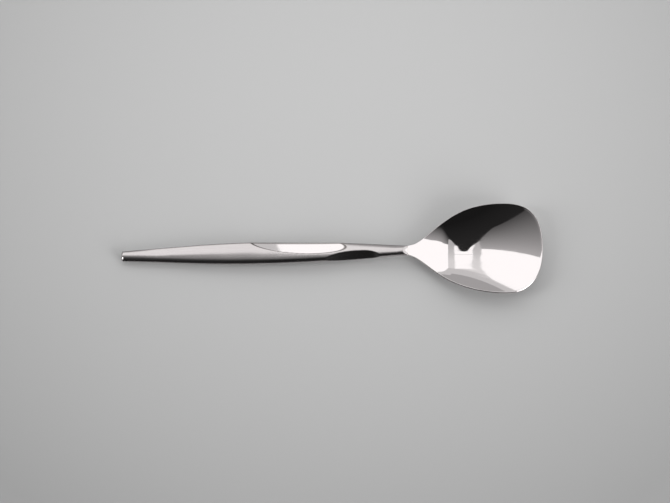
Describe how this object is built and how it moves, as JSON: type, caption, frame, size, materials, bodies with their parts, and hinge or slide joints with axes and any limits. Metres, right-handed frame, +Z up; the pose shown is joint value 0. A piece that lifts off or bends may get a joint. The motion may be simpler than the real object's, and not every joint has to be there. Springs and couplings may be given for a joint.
{
  "type": "sugar spoon",
  "caption": "Sugar spoon with a straight satin spindle handle, whittled facets near the neck, and a broad polished bowl with a blunt front for lifting sugar.",
  "frame": {"origin": "centre of the spoon's box in plan, on the table that the spoon lies on", "axes": "+X along the spoon from the tail of the handle to the tip of the bowl, +Z up out of the open bowl, +Y across to the side of the polished thumb facet"},
  "size_m": [0.14, 0.0306, 0.0064],
  "materials": {
    "handle_satin": "fine satin, ground along the handle, with one polished facet",
    "bowl_polish": "mirror-polished stainless steel",
    "braze_alloy": "pale silver brazing alloy, dressed flush"
  },
  "bodies": {
    "root": {"handle": "handle_satin", "bowl": "bowl_polish", "braze": "braze_alloy"}
  },
  "joints": []
}
